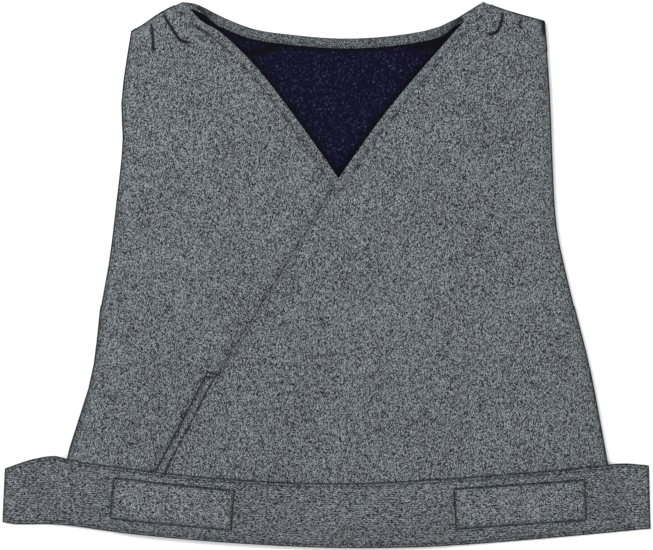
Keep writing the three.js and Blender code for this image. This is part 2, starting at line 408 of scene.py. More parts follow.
class Nodes:
    """A short way to write a material's node graph."""

    def __init__(self, name, roughness, **settings):
        self.material = bpy.data.materials.new(name)
        self.material.use_nodes = True
        self.tree = self.material.node_tree
        self.shader = self.tree.nodes["Principled BSDF"]
        self.shader.inputs["Roughness"].default_value = roughness
        for key, value in settings.items():
            self.shader.inputs[key.replace("_", " ")].default_value = value

    def add(self, kind, inputs=(), **settings):
        node = self.tree.nodes.new("ShaderNode" + kind)
        for key, value in settings.items():
            setattr(node, key, value)
        for key, value in dict(inputs).items():
            if isinstance(value, bpy.types.NodeSocket):
                self.tree.links.new(value, node.inputs[key])
            else:
                node.inputs[key].default_value = value
        return node

    def place(self, stretch_by):
        """Where a point is at rest, in metres, scaled along each axis."""
        rest = self.add("Attribute", attribute_name="rest_place").outputs["Vector"]
        return self.add("Mapping", {"Vector": rest, "Scale": stretch_by}).outputs["Vector"]

    def noise(self, stretch_by, detail=2.0, rough=0.6):
        vector = self.place(stretch_by)
        return self.add("TexNoise", {"Vector": vector, "Scale": 1.0, "Detail": detail,
                                     "Roughness": rough}).outputs["Fac"]

    def math(self, operation, a, b):
        return self.add("Math", {0: a, 1: b}, operation=operation).outputs[0]

    def mixed(self, factor, a, b):
        node = self.add("Mix", {"Factor": factor}, data_type="RGBA")
        for key, value in ((6, a), (7, b)):
            if isinstance(value, bpy.types.NodeSocket):
                self.tree.links.new(value, node.inputs[key])
            else:
                node.inputs[key].default_value = (*value, 1)
        return node.outputs[2]

    def ramp(self, factor, stops):
        node = self.add("ValToRGB", {"Fac": factor})
        elements = node.color_ramp.elements
        while len(elements) < len(stops):
            elements.new(0.5)
        for element, (position, colour) in zip(elements, stops):
            element.position = position
            element.color = (*colour, 1)
        return node.outputs["Color"]

    def shaded(self, colour, dark=(0.002, 0.002, 0.003)):
        """The colour, mixed towards near black where the mesh's shade attribute paints shade: in creases,
        along edges and seams, and in corners.
        """
        shade = self.add("Attribute", attribute_name="shade").outputs["Fac"]
        return self.mixed(shade, colour, dark)

    def finish(self, colour, height, distance, strength=1.0):
        self.tree.links.new(self.shaded(colour), self.shader.inputs["Base Color"])
        bump = self.add("Bump", {"Height": height, "Distance": distance, "Strength": strength})
        self.tree.links.new(bump.outputs["Normal"], self.shader.inputs["Normal"])
        return self.material


def heather(name, grain, dark, light, ribs=None, pile=0.0):
    """Salt and pepper cloth. Grain is the length of a yarn's speck along X and Y in millimetres."""
    n = Nodes(name, 0.92, Sheen_Weight=0.06, Sheen_Roughness=0.5, Specular_IOR_Level=0.12)
    cells = n.add("TexVoronoi", {"Vector": n.place([MM / grain[0], MM / grain[1], MM / 1.6]), "Scale": 1.0})
    specks = n.add("SeparateColor", {"Color": cells.outputs["Color"]}).outputs["Red"]
    fuzz = n.noise([MM / grain[0] * 1.7, MM / grain[1] * 1.5, MM / 1.0], 2.0, 0.7)
    patchy = n.noise([14.0, 11.0, 14.0], 2.0, 0.5)
    mottled = n.math("ADD", n.math("MULTIPLY", specks, 0.66), n.math("MULTIPLY", fuzz, 0.34))
    toned = n.math("ADD", mottled, n.math("MULTIPLY", n.math("SUBTRACT", patchy, 0.5), 0.1))
    middle = [d + (l - d) * 0.3 for d, l in zip(dark, light)]
    colour = n.ramp(toned, [(0.33, dark), (0.53, middle), (0.73, light)])
    height = n.math("ADD", n.math("MULTIPLY", fuzz, 1.0 + pile),
                    n.math("SUBTRACT", 1.0, cells.outputs["Distance"]))
    if ribs:
        wave = n.add("TexWave", {"Vector": n.place([MM] * 3), "Scale": math.pi / 10 / ribs,
                                 "Distortion": 0.6, "Detail": 1.0, "Detail Scale": 0.4},
                     bands_direction="Y").outputs["Fac"]
        # Painted shade in the grooves between the ribs: darker where the ribs' bump is low.
        colour = n.mixed(n.math("MULTIPLY", n.math("SUBTRACT", 1.0, wave), 0.3), colour, dark)
        height = n.math("ADD", height, n.math("MULTIPLY", wave, 1.2))
    rough = n.add("MapRange", {"Value": specks, "To Min": 0.8, "To Max": 0.98}).outputs["Result"]
    n.tree.links.new(rough, n.shader.inputs["Roughness"])
    return n.finish(colour, height, 0.0004)


def navy():
    n = Nodes("navy_lining_cloth", 0.86, Specular_IOR_Level=0.06)
    weave = n.noise([MM / 1.1, MM / 1.1, MM / 1.1], 2.0, 0.6)
    lint = n.noise([MM / 2.2, MM / 2.6, MM / 2.4], 2.0, 0.7)
    colour = n.ramp(weave, [(0.3, (0.0004, 0.0002, 0.0025)), (0.7, (0.005, 0.0036, 0.02))])
    speck = n.add("MapRange", {"Value": lint, "From Min": 0.56, "From Max": 0.74}).outputs["Result"]
    colour = n.mixed(n.math("MULTIPLY", speck, 0.8), colour, (0.05, 0.046, 0.12))
    return n.finish(colour, n.math("ADD", weave, lint), 0.0003)


def vinyl():
    n = Nodes("lead_vinyl_ply", 0.5, Specular_IOR_Level=0.4)
    grain = n.add("TexVoronoi", {"Vector": n.place([MM / 1.4] * 3), "Scale": 1.0}).outputs["Distance"]
    cloud = n.noise([30.0] * 3, 3.0)
    colour = n.ramp(cloud, [(0.3, (0.022, 0.024, 0.026)), (0.7, (0.045, 0.047, 0.05))])
    return n.finish(colour, grain, 0.0003)


def hooks():
    n = Nodes("hook_tape_nylon", 0.45, Specular_IOR_Level=0.45)
    rows = n.add("TexVoronoi", {"Vector": n.place([MM / 1.6] * 3), "Scale": 1.0,
                                "Randomness": 0.25}).outputs["Distance"]
    colour = n.ramp(rows, [(0.1, (0.06, 0.063, 0.068)), (0.5, (0.012, 0.013, 0.015))])
    return n.finish(colour, n.math("SUBTRACT", 1.0, rows), 0.0008)


def thread(name, dark, light):
    n = Nodes(name, 0.7, Sheen_Weight=0.1, Specular_IOR_Level=0.3)
    twist = n.add("TexWave", {"Vector": n.place([MM] * 3), "Scale": 0.9, "Distortion": 0.4},
                  bands_direction="DIAGONAL").outputs["Fac"]
    return n.finish(n.ramp(twist, [(0.2, dark), (0.8, light)]), twist, 0.0002)


DARK_YARN = (0.003, 0.004, 0.005)
CLOTH = heather("heather_cloth", (0.6, 1.2), DARK_YARN, (0.252, 0.28, 0.3))
EDGE_CLOTH = heather("edge_tape_cloth", (0.65, 0.9), (0.004, 0.005, 0.006), (0.24, 0.268, 0.288))
TRIM_CLOTH = heather("neck_trim_cloth", (0.65, 0.9), (0.003, 0.0035, 0.004), (0.185, 0.21, 0.225))
ELASTIC = heather("ribbed_elastic", (1.3, 0.6), DARK_YARN, (0.3, 0.332, 0.355), ribs=2.3)
PILE = heather("loop_pile", (1.0, 0.7), DARK_YARN, (0.31, 0.341, 0.363), pile=1.2)
NAVY = navy()
VINYL = vinyl()
HOOKS = hooks()
THREAD = thread("dark_thread", (0.002, 0.002, 0.003), (0.009, 0.01, 0.012))


# -------- mesh making

def make_piece(name, points, faces, material, shade=None):
    """A smooth-shaded mesh object from points in millimetres."""
    points = np.asarray(points, float) / MM
    mesh = bpy.data.meshes.new(name)
    mesh.from_pydata(points.tolist(), [], faces)
    rest = mesh.attributes.new("rest_place", "FLOAT_VECTOR", "POINT")
    rest.data.foreach_set("vector", points.astype(np.float32).ravel())
    tone = mesh.attributes.new("shade", "FLOAT", "POINT")
    tone.data.foreach_set("value", np.zeros(len(points), np.float32) if shade is None
                          else np.asarray(shade, np.float32))
    mesh.polygons.foreach_set("use_smooth", [True] * len(mesh.polygons))
    mesh.materials.append(material)
    shell = bmesh.new()
    shell.from_mesh(mesh)
    bmesh.ops.recalc_face_normals(shell, faces=shell.faces)
    shell.to_mesh(mesh)
    shell.free()
    obj = bpy.data.objects.new(name, mesh)
    bpy.context.scene.collection.objects.link(obj)
    return obj


def flat_mesh(loop, spacing, extra=()):
    """Points and triangles that fill a loop, about evenly, with extra points where shapes are fine."""
    border = resampled(loop, spacing, True)
    low, high = loop.min(0), loop.max(0)
    row = spacing * math.sqrt(3) / 2
    grid = [(x + (j % 2) * spacing / 2, y) for j, y in enumerate(np.arange(low[1], high[1], row))
            for x in np.arange(low[0], high[0], spacing)]
    grid = np.array(grid)
    grid = grid[depth(grid, border) > spacing * 0.55]
    if len(extra):
        extra = extra[depth(extra, border) > 0.8]
        gap = np.full(len(grid), np.inf)
        for start in range(0, len(extra), 200):
            part = extra[start:start + 200]
            gap = np.minimum(gap, np.linalg.norm(grid[:, None] - part[None], axis=2).min(1))
        grid = np.concatenate([grid[gap > 2.2], extra])
    points = np.concatenate([border, grid])
    made = delaunay_2d_cdt([Vector(p) for p in points], [], [list(range(len(border)))], 1, 1e-4)
    return np.array([tuple(v) for v in made[0]]), [tuple(f) for f in made[2]]


def slab(name, flat, low, high, material, shade=None):
    """A closed cloth layer over a flat mesh, between two heights."""
    points, faces = flat
    count = len(points)
    directed = {edge for f in faces for edge in zip(f, f[1:] + f[:1])}
    rim = [(a, b) for a, b in directed if (b, a) not in directed]
    walls = [(b, a, a + count, b + count) for a, b in rim]
    under = [tuple(reversed([i + count for i in f])) for f in faces]
    solid = np.concatenate([np.column_stack([points, high]), np.column_stack([points, low])])
    shades = None if shade is None else np.concatenate([shade, shade * 0])
    return make_piece(name, solid, list(faces) + under + walls, material, shades)


def swept(name, line, section, material, closed=False):
    """A closed section carried along a line. section(points, inward) gives rings and their shades."""
    ahead = np.roll(line, -1, 0) - line if closed else np.gradient(line, axis=0)
    if closed:
        ahead = ahead / np.linalg.norm(ahead, axis=1)[:, None]
        ahead = ahead + np.roll(ahead, 1, 0)
    ahead = ahead / np.linalg.norm(ahead, axis=1)[:, None]
    inward = np.stack([-ahead[:, 1], ahead[:, 0]], 1)
    rings, shades = section(line, inward)
    steps, around = rings.shape[:2]
    faces = []
    for i in range(steps if closed else steps - 1):
        j = (i + 1) % steps
        for k in range(around):
            m = (k + 1) % around
            faces.append((i * around + k, i * around + m, j * around + m, j * around + k))
    if not closed:
        faces.append(tuple(reversed(range(around))))
        faces.append(tuple((steps - 1) * around + k for k in range(around)))
    return make_piece(name, rings.reshape(-1, 3), faces, material, shades.ravel())


def rounded(loop, radius, turn=50):
    """The loop with its sharp corners rounded."""
    out = []
    for before, corner, after in zip(np.roll(loop, 1, 0), loop, np.roll(loop, -1, 0)):
        a, b = before - corner, after - corner
        a, b = a / np.linalg.norm(a), b / np.linalg.norm(b)
        if math.degrees(math.acos(np.clip(-a @ b, -1, 1))) < turn:
            out.append(corner)
            continue
        for t in np.linspace(0, 1, 6):
            out.append(corner + radius * (a * (1 - t) ** 2 + b * t ** 2))
    return np.array(out)


def stitches(name, rows, length=3.0, gap=1.5, thick=0.5, lift=0.12):
    """Rows of sewn stitches. Each row is a line of points and a function for the cloth's height."""
    around, along = 6, 5
    angle = np.arange(around) * 2 * math.pi / around
    points, faces = [], []
    for line, height in rows:
        travelled = run(line)
        starts = np.arange(gap, travelled[-1] - length, length + gap)
        share = np.linspace(0, 1, along)
        at = (starts[:, None] + share[None] * length).ravel()
        xy = np.stack([np.interp(at, travelled, line[:, k]) for k in (0, 1)], 1)
        arch = np.tile(np.sin(share * math.pi), len(starts))
        middle = height(xy) + lift - 0.55 * (1 - arch)
        ahead = (xy[along - 1::along] - xy[::along]) / length
        side = np.repeat(np.stack([-ahead[:, 1], ahead[:, 0]], 1), along, 0)
        radius = thick * (0.55 + 0.45 * arch)
        for centre, z, across, r in zip(xy, middle, side, radius):
            for c, s in zip(np.cos(angle), np.sin(angle)):
                points.append((*(centre + across * r * c), z + r * s))
        first = len(points) - len(xy) * around
        for i in range(len(starts)):
            base = first + i * along * around
            for j in range(along - 1):
                for k in range(around):
                    m = (k + 1) % around
                    faces.append(tuple(base + j * around + v for v in (k, m, m + around, k + around)))
            faces.append(tuple(base + k for k in reversed(range(around))))
            faces.append(tuple(base + (along - 1) * around + k for k in range(around)))
    obj = make_piece(name, points, faces, THREAD)
    return obj


# -------- the three panels

# Where in a panel's thickness the plies lie, and the two cloths' inner faces at the edge and farther in.
PLY_SHARES = (0.228, 0.4386, 0.491, 0.70)
CLOTH_SHARES = ((0.46, 0.175), (0.52, 0.754))

SHELL_STEP = 4.5
LINING_STEP = 6.0
PLY_STEP = 10.0
SEAM_LINE = 2.6
# How far the back lining's painted shade reaches beside the fronts' edges, and around the shoulder corners.
LINING_GLOOM = 10.0
CORNER_GLOOM = 34.0

PANEL_FOLDS = {"right": RIGHT_FOLD, "left": LEFT_FOLD}


def near_edge(panel, offsets, spacing=3.0):
    """Points on lines that follow a panel's edge, each a distance in from its tape's inner edge."""
    line = even(panel.loop, spacing, True)
    shift = line - grown(line, 1.0)
    shift /= np.linalg.norm(shift, axis=1)[:, None]
    band = panel.band(line)
    return np.concatenate([line + shift * (band + offset)[:, None] for offset in offsets])


def pleat_points(side):
    """Rows of points on each side of a shoulder's pleats."""
    rows = []
    for points, _, _ in PLEATS[side]:
        line = even(np.array(points, float), 2.0)
        rows += [line + leftward(line) * offset for offset in PLEAT_ROWS]
    return np.concatenate(rows)


def spread(points, apart):
    """The points without those that lie closer together than a distance."""
    kept = {}
    for p in points:
        kept.setdefault((round(p[0] / apart), round(p[1] / apart)), p)
    return np.array(list(kept.values()))


def layers(panel, at):
    """Underside and top of a panel's lining side, its two plies and its cloth side."""
    base, top = panel.low(at), panel.high(at)
    full = top - base
    past = panel.inward(at) - panel.band(at.xy)
    tuck = (TUCK + 0.05) * (1 - smooth((past + 0.4) / 1.3))
    parted = smooth(past / 7)
    level = [base + full * share for share in PLY_SHARES]
    under_top, over_low = (base + full * (edge + (inner - edge) * parted) for edge, inner in CLOTH_SHARES)
    return {"under": (base + tuck, under_top), "ply_under": (level[0], level[1]),
            "ply_over": (level[2], level[3]), "over": (over_low, top - tuck)}


def broken(travelled, swing):
    """How strongly the painted shade of a sewn crease shows along its length, unevenly as hand-guided seams
    do.
    """
    return 1 - swing + swing * np.sin(travelled / 2.9 + 1.7 * np.sin(travelled / 11))


def sewn(at, panel):
    """How far the seam inside the tape pulls the cloth down, and the painted shade along it and along the
    closure's seam.
    """
    past = panel.inward(at) - panel.band(at.xy) - SEAM_LINE
    pull = np.exp(-(past / 1.3) ** 2)
    neckness = (panel.band(at.xy) - EDGE_BAND) / (NECK_BAND - EDGE_BAND)
    travelled = nearest(at.xy, panel.neck)[1]
    drop, shade = pull * (0.12 + 0.28 * neckness), pull * 0.75 * neckness * broken(travelled, 0.5)
    if panel.side == "left":
        gap, travelled = nearest(at.xy, CLOSURE_SEAM, True)
        line = np.exp(-(gap / 1.6) ** 4)
        drop, shade = np.maximum(drop, 0.45 * line), np.maximum(shade, line * broken(travelled, 0.35))
    return drop, shade


def lining_folds(at):
    """Height of the back lining's folds, and the painted shade on it: in its folds' creases, beside the
    fronts' edges and the neck trim, and in the shoulder corners.
    """
    gap = np.minimum(-at.left, -at.right)
    tips = np.minimum(*(np.linalg.norm(at.xy - tip, axis=1) for tip in (LEFT_NECK_TOP, RIGHT_NECK_TOP)))
    beside = np.minimum(gap, -1.6 * depth(at.xy, NECK_TRIM))
    rise, dark = pleat_shape(at.xy, "back")
    shade = np.maximum.reduce([np.clip(1.2 * (1 - smooth(beside / LINING_GLOOM)), 0, 0.85), dark,
                               1 - smooth((tips - CORNER_GLOOM) / CORNER_GLOOM)])
    return rise * smooth(gap / 4), shade * smooth(1.3 + gap / LINING_GLOOM)


def make_panel(side, names, nodes):
    """A panel's four layers. names and nodes run from its lining to its outer cloth."""
    panel = PANELS[side]
    outer = "over" if side != "back" else "under"
    edges = near_edge(panel, (-1.3, -0.2, 0.9, SEAM_LINE - 0.9, SEAM_LINE, SEAM_LINE + 0.9, 6.5))
    cloth_loop = grown(panel.loop, -CLOTH_INSET)
    ply_loop = grown(panel.loop, -PLY_INSET)
    bend = PANEL_FOLDS[side].rows(PANEL_ROWS) if side in PANEL_FOLDS else np.zeros((0, 2))
    extra = [edges, pleat_points(side), bend]
    if side == "left":
        extra += [even(grown(CLOSURE_SEAM, d), 1.6, True) for d in (-2.4, -1.2, 0, 1.2, 2.4)]
    fine = flat_mesh(cloth_loop, SHELL_STEP, spread(np.concatenate(extra), 0.9))
    coarse = flat_mesh(cloth_loop, LINING_STEP if side != "back" else SHELL_STEP,
                       spread(np.concatenate([edges, bend]), 1.6))
    ply = flat_mesh(ply_loop, PLY_STEP, bend)
    lining_key = "under" if outer == "over" else "over"
    out = []
    stack = ((lining_key, coarse, NAVY, cloth_loop), ("ply_under", ply, VINYL, ply_loop),
             ("ply_over", ply, VINYL, ply_loop), (outer, fine, CLOTH, cloth_loop))
    for key, flat, material, loop in stack:
        at = Place(flat[0])
        low, high = layers(panel, at)[key]
        # shade is painted shade: the lining's folds and corners, the seams' lines and the pleats' creases.
        shade = np.zeros(len(low))
        if key == lining_key and side == "back":
            rise, shade = lining_folds(at)
            high = high + rise
        if key == outer:
            pull, shade = sewn(at, panel)
            if outer == "over":
                high = high - pull
                rise, dark = pleat_shape(at.xy, side)
                low, high, shade = low + rise, high + rise, np.maximum(shade, dark)
            else:
                low = low + pull
        name = names[len(out)]
        obj = slab(name, flat, low, high, material, shade)
        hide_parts(*nodes[len(out)])
        out.append((obj, loop))
    return out


def edge_turn_shade(panel, points):
    """How much painted shade an edge's turn gets, and the tape beside it: none along a neck, broken where it
    lies over the other front.
    """
    if panel.side == "back":
        return np.full(len(points), 0.8), np.full(len(points), 0.3)
    tone = (NECK_BAND - panel.band(points)) / (NECK_BAND - EDGE_BAND)
    wide = tone.copy()
    if panel.side == "left":
        at_closure = smooth(1.6 - nearest(points, CLOSURE, True)[0] / 5)
        resting = smooth(depth(points, RIGHT) / 6) * (1 - at_closure)
        travelled = np.linalg.norm(points - V_TIP, axis=1)
        tone *= 1 - resting * (1 - broken(travelled, 0.45))
        wide *= 1 - 0.65 * resting
    return tone, wide


# Painted shade in the tapes, full within about 3 mm of the corner crease's line.
def corner_crease_shade(xy):
    return np.exp(-(nearest(xy, CORNER_CREASE)[0] / 3.4) ** 4)


def edge_tape(name, side, line, closed=True, crown=0.16):
    """The tape folded over a panel's edge."""
    panel = PANELS[side]

    def section(points, inward):
        band = panel.band(points)
        tone, wide = edge_turn_shade(panel, points)
        # Distance from the edge, share of the panel's thickness, height beyond that, and painted shade,
        # darkest on the edge's turn.
        rows = [(band, 1, 0.05 - TUCK, 0.1), (band - 0.45, 1, -0.06, 0), (band * 0.6, 1, crown, 0.1 * wide),
                (band * 0.28, 1, crown * 0.6, 0.8 * wide), (1.0, 1, -0.12, tone), (0.3, 0.84, 0, tone),
                (0.0, 0.5, 0, tone), (0.3, 0.16, 0, tone), (1.0, 0, 0.12, 0.1), (band - 0.45, 0, 0.06, 0),
                (band, 0, TUCK - 0.05, 0), (1.4, 0, TUCK - 0.06, 0), (1.0, 0.5, 0, 0),
                (1.4, 1, 0.06 - TUCK, 0)]
        rings, shades = [], []
        for inset, share, offset, shade in rows:
            xy = points + inward * (inset + band * 0)[:, None]
            at = Place(xy)
            low, high = panel.low(at), panel.high(at)
            rings.append(np.column_stack([xy, low + (high - low) * share + offset]))
            shades.append(np.maximum(shade + band * 0, corner_crease_shade(xy)))
        return np.stack(rings, 1), np.stack(shades, 1)

    return swept(name, line, section, EDGE_CLOTH, closed)


def run_beside(loop, node, reach=10.0):
    """The part of a loop that runs beside a CAD node."""
    line = resampled(loop, 3.0, True)
    close = depth(line, top_loop(node)) > -reach
    first = np.flatnonzero(close & ~np.roll(close, 1))[0]
    line, close = np.roll(line, -first, 0), np.roll(close, -first)
    return line[:int(np.argmin(close))]


def seam(name, side):
    """The tape that closes the front's edge to the back's, over the top and down the outside."""
    panel = PANELS[side]

    def section(points, inward):
        # Each row: inset from the edge, share of the panel's height, millimetres beyond that, and painted
        # shade, darkest where the tape turns down the outside.
        rows = [(5.2, 1, 0.1, 0.2), (4.8, 1, 0.4, 0), (2.4, 1, 0.65, 0.2), (0.6, 1, 0.4, 0.9),
                (-0.45, 0.75, 0.1, 1), (-0.75, 0.3, 0, 0.9), (-0.75, -0.6, 0, 0.5),
                (-0.5, -0.98, 0.1, 0.3), (-0.1, -0.98, 0.1, 0), (-0.1, 0.4, 0, 0), (0.3, 0.97, 0, 0),
                (2.4, 1, 0.12, 0)]
        rings, shades = [], []
        for inset, share, offset, shade in rows:
            at = Place(points + inward * max(inset, 0.0))
            low, high = panel.low(at), panel.high(at)
            z = low + (high - low) * share if share >= 0 else low * (1 + share)
            xy = points + inward * inset
            rings.append(np.column_stack([xy, z + offset]))
            shades.append(np.maximum(shade, corner_crease_shade(xy)))
        return np.stack(rings, 1), np.stack(shades, 1)

    obj = swept(name + "_tape", run_beside(BACK, name), section, EDGE_CLOTH)
    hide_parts(name)
    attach(obj, "back")
    return obj


SLOTS = ("navy_lining", "lead_vinyl", "lead_vinyl", "heather_fabric")

back = make_panel(
    "back", ("back_lining_cloth", "back_lead_outer_ply", "back_lead_inner_ply", "back_shell_cloth"),
    (("back_lining",), ("back_lead_outer",), ("back_lead_inner",), ("back_shell",)))
for (piece, _), slot_name in zip(back, SLOTS):
    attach(piece, "back")

fronts = {}
for side, fold in PANEL_FOLDS.items():
    kinds = ("lining", "lead_inner", "lead_outer", "shell")
    made = make_panel(side, [f"{side}_front_{kind}_{'ply' if 'lead' in kind else 'cloth'}" for kind in kinds],
                      [(f"{side}_front_{kind}", f"{side}_side_{kind}") for kind in kinds])
    tape = edge_tape(f"{side}_front_edge_tape", side, resampled(PANELS[side].loop, 3.0, True))
    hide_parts(f"{side}_front_binding", f"{side}_armhole_binding")
    for (piece, _), slot_name in zip(made, SLOTS):
        fold.blend(piece)
    fold.blend(tape)
    fronts[side] = made, tape

back_line = resampled(BACK, 3.0, True)
on_neck = nearest(back_line, PANELS["back"].neck)[0] < 0.6
start = np.flatnonzero(on_neck & ~np.roll(on_neck, 1))[0]
back_line, on_neck = np.roll(back_line, -start, 0), np.roll(on_neck, -start)
turn = int(np.argmin(on_neck))
neck_tape = edge_tape("back_neck_tape", "back", back_line[:turn + 1], False)
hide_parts("back_neck_binding")
side_tape = edge_tape("back_edge_tape", "back", np.concatenate([back_line[turn:], back_line[:1]]), False)
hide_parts("back_edge_binding")
for piece in (neck_tape, side_tape):
    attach(piece, "back")

seams = [seam(f"{side}_{name}", side)
         for name in ("side_seam", "shoulder_seam") for side in ("right", "left")]


# -------- trim along the back of the neck

TRIM_WIDTH = 12.4
TRIM_TOP = 1.35


def neck_trim():
    line = even(PANELS["back"].neck, 3.0)
    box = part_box("back_neck_facing")
    line = line[(line[:, 0] > box[0].x * MM) & (line[:, 0] < box[1].x * MM)]
    travelled = run(line)
    from_end = np.minimum(travelled, travelled[-1] - travelled)
    width = TRIM_WIDTH * (0.45 + 0.55 * smooth(from_end / 34))

    def section(points, inward):
        # Each row: inset from the neck edge, height above the back, and painted shade, darkest along the
        # trim's two edges.
        rows = [(1.0, 0.1, 0.7), (0.7, 0.7, 0.7), (1.6, 1.3, 0.1), (width * 0.5, 1.42, 0),
                (width - 0.8, 1.3, 0), (width, 0.75, 0.8), (width - 0.3, 0.12, 1), (width * 0.5, 0.12, 0)]
        # gloom is painted shade over the last few centimetres at each end of the trim.
        gloom = 0.8 * (1 - smooth(from_end / 38))
        rings, shades = [], []
        for inset, height, shade in rows:
            xy = points + inward * (inset + width * 0)[:, None]
            rings.append(np.column_stack([xy, back_high(Place(xy)) + height]))
            shades.append(np.maximum(shade, gloom))
        return np.stack(rings, 1), np.stack(shades, 1)

    obj = swept("back_neck_trim", line, section, TRIM_CLOTH)
    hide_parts("back_neck_facing")
    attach(obj, "back")
    return line, width


trim_line, trim_width = neck_trim()


# -------- closure under the wrap edge

def closure_tape(name, node, low, body, material):
    flat = flat_mesh(CLOSURE, 4.0)
    base = right_high(Place(flat[0])) + low
    obj = slab(name, flat, base, base + TAPE, material)
    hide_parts(node)
    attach(obj, body)
    return obj


loop_tape = closure_tape("closure_loop_tape", "closure_loop_strip", 0.1, "right_front", PILE)
hook_tape = closure_tape("closure_hook_tape", "closure_hook_strip", 1.2, "left_front", HOOKS)


# -------- belt

def belt_edges():
    """The belt's top and bottom edge, from its right end to its left end."""
    points = np.concatenate([top_loop(n) for n in ("belt_right_end", "belt_front", "belt_left_end")])
    middle = (points[:, 1].max() + points[:, 1].min()) / 2
    out = []
    for part in (points[points[:, 1] > middle], points[points[:, 1] < middle]):
        part = part[part[:, 0].argsort()]
        out.append(part[np.concatenate([[True], np.diff(part[:, 0]) > 4.5])])
    return out


class Drape:
    """The surface that the belt lies on: the panels' tops, and slopes that it bridges beside them."""

    step, slope, soften = 3.0, 0.55, 2.0

    def __init__(self, low, high):
        self.low = np.array(low, float)
        self.shape = tuple(int((h - l) / self.step) + 1 for l, h in zip(low, high))
        xs, ys = (low[k] + np.arange(self.shape[k]) * self.step for k in (0, 1))
        xy = np.stack(np.meshgrid(xs, ys, indexing="ij"), -1).reshape(-1, 2)
        at = Place(xy)
        top = np.where(depth(xy, top_loop("belt_hook_pad")) > -2, 1.5, 0.0)
        for side, panel in PANELS.items():
            top = np.where(getattr(at, side) > -0.8, np.maximum(top, panel.high(at)), top)
        top = top.reshape(self.shape)
        reach = int(top.max() / self.slope / self.step) + 1
        padded = np.pad(top, reach)
        tent = top.copy()
        for i in range(-reach, reach + 1):
            for j in range(-reach, reach + 1):
                moved = padded[reach + i:reach + i + self.shape[0], reach + j:reach + j + self.shape[1]]
                tent = np.maximum(tent, moved - self.slope * self.step * math.hypot(i, j))
        taps = np.exp(-(np.arange(-6, 7) / self.soften) ** 2 / 2)
        taps /= taps.sum()
        for axis in (0, 1):
            wide = np.pad(tent, 6, mode="edge")
            tent = sum(t * np.take(wide, np.arange(6 + k, 6 + k + tent.shape[axis]), axis=axis).take(
                np.arange(6, 6 + tent.shape[1 - axis]), axis=1 - axis) for k, t in zip(range(-6, 7), taps))
        self.height = np.maximum(tent, top + 0.15)

    def __call__(self, xy):
        place = (xy - self.low) / self.step
        cell = np.clip(place.astype(int), 0, np.array(self.shape) - 2)
        t = np.clip(place - cell, 0, 1)
        i, j = cell[:, 0], cell[:, 1]
        h = self.height
        left = h[i, j] * (1 - t[:, 1]) + h[i, j + 1] * t[:, 1]
        right = h[i + 1, j] * (1 - t[:, 1]) + h[i + 1, j + 1] * t[:, 1]
        return left * (1 - t[:, 0]) + right * t[:, 0]


BELT_SEAM = 4.2
BELT_REACH = 400.0
BELT_TOP_EDGE, BELT_BOTTOM_EDGE = belt_edges()
drape = Drape((-BELT_REACH, -345), (BELT_REACH, -180))


def belt_loop(first, last):
    """The belt's outline between two places along it."""
    parts = []
    for edge in (BELT_BOTTOM_EDGE, BELT_TOP_EDGE):
        low, high = max(first, edge[0, 0]), min(last, edge[-1, 0])
        inner = edge[(edge[:, 0] > low + 3) & (edge[:, 0] < high - 3)]
        ends = np.array([[x, np.interp(x, edge[:, 0], edge[:, 1])] for x in (low, high)])
        parts.append(np.concatenate([ends[:1], inner, ends[1:]]))
    return np.concatenate([parts[0], parts[1][::-1]])


def belt_depth(xy):
    """How far in from the belt's long edges each point is."""
    return np.minimum(nearest(xy, BELT_TOP_EDGE)[0], nearest(xy, BELT_BOTTOM_EDGE)[0])


def belt_high(xy):
    """Top of the belt: a plump selvage along each edge, and ribs' slow unevenness between."""
    inward = belt_depth(xy)
    selvage = 0.3 * np.exp(-((inward - 2.2) / 1.1) ** 2) - 0.3 * np.exp(-((inward - BELT_SEAM) / 0.9) ** 2)
    pucker = 0.14 * np.sin(xy[:, 0] / 3.1 + np.sin(xy[:, 0] / 17) * 2) * np.exp(-inward / 9)
    swell = 0.35 * np.sin(xy[:, 0] / 37 + 1) * np.sin(xy[:, 1] / 13 + xy[:, 0] / 90)
    return drape(xy) + WEBBING_REST + WEBBING - 0.5 + selvage + pucker + swell * smooth(inward / 20)


def belt_piece(name, first, last, nodes, fold):
    loop = belt_loop(first, last)
    bounds = loop.min(0)[0] - 5, loop.max(0)[0] + 5
    tip = np.array([[BELT_TOP_EDGE[k], BELT_BOTTOM_EDGE[k]] for k in (0, -1)])
    lines = []
    for edge in (BELT_TOP_EDGE, BELT_BOTTOM_EDGE):
        line = even(edge, 3.0)
        line = line[(line[:, 0] > bounds[0]) & (line[:, 0] < bounds[1])]
        inner = -1 if edge is BELT_TOP_EDGE else 1
        lines += [line + np.array([0, inner * d]) for d in (0.8, 1.6, 2.6, 3.4, 4.2, 5.0, 7.5)]
    flat = flat_mesh(loop, 4.0, np.concatenate(lines + [fold.rows(BELT_ROWS)]))
    inward = np.minimum.reduce([belt_depth(flat[0]), *(nearest(flat[0], end)[0] for end in tip)])
    low = drape(flat[0]) + WEBBING_REST
    high = belt_high(flat[0]) - 0.9 * (1 - smooth(inward / 1.3))
    # Painted shade: a line along the selvage seam's groove, and a dark rim at the belt's edges and ends.
    shade = np.maximum(0.35 * np.exp(-((belt_depth(flat[0]) - BELT_SEAM) / 0.9) ** 2),
                       1 - smooth((inward - 0.9) / 1.4))
    obj = slab(name, flat, low + 0.5 * (1 - smooth(inward / 1.3)), high, ELASTIC, shade)
    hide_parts(*nodes)
    fold.blend(obj)
    return obj, loop


belt, belt_outline = belt_piece("belt_webbing", BELT_SPLICE + 0.1, BELT_REACH,
                                ("belt_front", "belt_left_end"), LEFT_FOLD)
belt_end, belt_end_outline = belt_piece("belt_end_webbing", -BELT_REACH, BELT_SPLICE,
                                        ("belt_right_end",), BELT_FOLD)


